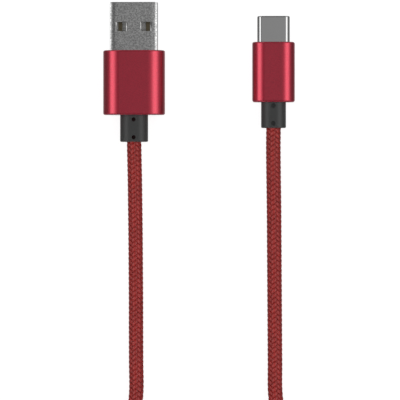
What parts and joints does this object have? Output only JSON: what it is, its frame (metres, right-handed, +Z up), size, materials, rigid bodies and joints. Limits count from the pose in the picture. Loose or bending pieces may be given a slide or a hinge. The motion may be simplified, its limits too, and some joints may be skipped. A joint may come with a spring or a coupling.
{
  "type": "charging cable",
  "caption": "Braided charging cable with a USB-A plug and a USB-C plug in rounded metal housings, spare cord wound in a tied coil.",
  "frame": {"origin": "on the surface the cable lies on, below the middle of the two plugs' common box", "axes": "+X from the USB-A plug to the USB-C plug, +Y towards the plug tips, +Z up from the surface"},
  "size_m": [0.0556, 0.1583, 0.0104],
  "materials": {
    "plug_steel": "fine satin",
    "red_metal": "red anodised, fine blasted",
    "charcoal_rubber": "matt",
    "black_plastic": "matt",
    "light_grey_plastic": "matt",
    "contact_gold": "gold plated",
    "red_braid": "braided polyester",
    "tie_fabric": "hook and loop",
    "screen_metal": "braided wire",
    "board_green": "solder resist",
    "chip_body": "ceramic",
    "wire_red": "smooth",
    "wire_white": "smooth",
    "wire_green": "smooth",
    "wire_black": "smooth"
  },
  "bodies": {
    "cable": {"usb_a_shell": "plug_steel", "usb_a_insulator": "light_grey_plastic", "usb_a_contact_power": "contact_gold", "usb_a_contact_data_minus": "contact_gold", "usb_a_contact_data_plus": "contact_gold", "usb_a_contact_ground": "contact_gold", "usb_a_wire_power": "wire_red", "usb_a_wire_data_minus": "wire_white", "usb_a_wire_data_plus": "wire_green", "usb_a_wire_ground": "wire_black", "usb_a_screen": "screen_metal", "usb_a_crimp_ring": "plug_steel", "usb_a_inner_mould": "black_plastic", "usb_a_housing": "red_metal", "usb_a_strain_relief": "charcoal_rubber", "usb_a_cord_end": "red_braid", "usb_c_shell": "plug_steel", "usb_c_insulator": "black_plastic", "usb_c_upper_contacts": "contact_gold", "usb_c_lower_contacts": "contact_gold", "usb_c_upper_spring": "plug_steel", "usb_c_lower_spring": "plug_steel", "usb_c_latch_plate": "plug_steel", "usb_c_board": "board_green", "usb_c_resistor": "chip_body", "usb_c_capacitor": "chip_body", "usb_c_can": "plug_steel", "usb_c_wire_power": "wire_red", "usb_c_wire_data_minus": "wire_white", "usb_c_wire_data_plus": "wire_green", "usb_c_wire_ground": "wire_black", "usb_c_screen": "screen_metal", "usb_c_crimp_ring": "plug_steel", "usb_c_inner_mould": "black_plastic", "usb_c_housing": "red_metal", "usb_c_strain_relief": "charcoal_rubber", "usb_c_cord_end": "red_braid", "cord_run_a": "red_braid", "cord_coil": "red_braid", "cord_run_c": "red_braid", "cable_tie": "tie_fabric"},
    "latch_left": {"usb_c_latch_left": "plug_steel"},
    "latch_right": {"usb_c_latch_right": "plug_steel"}
  },
  "joints": [
    {"name": "usb_c_latch_left_flex", "type": "hinge", "parent": "cable", "child": "latch_left", "pos_m": [0.01547, 0.0055, 0.0028], "axis": [0, 0, 1], "range_deg": [0, 1.8], "stiffness_Nm_per_rad": 0.5},
    {"name": "usb_c_latch_right_flex", "type": "hinge", "parent": "cable", "child": "latch_right", "pos_m": [0.02233, 0.0055, 0.0028], "axis": [0, 0, -1], "range_deg": [0, 1.8], "stiffness_Nm_per_rad": 0.5}
  ]
}
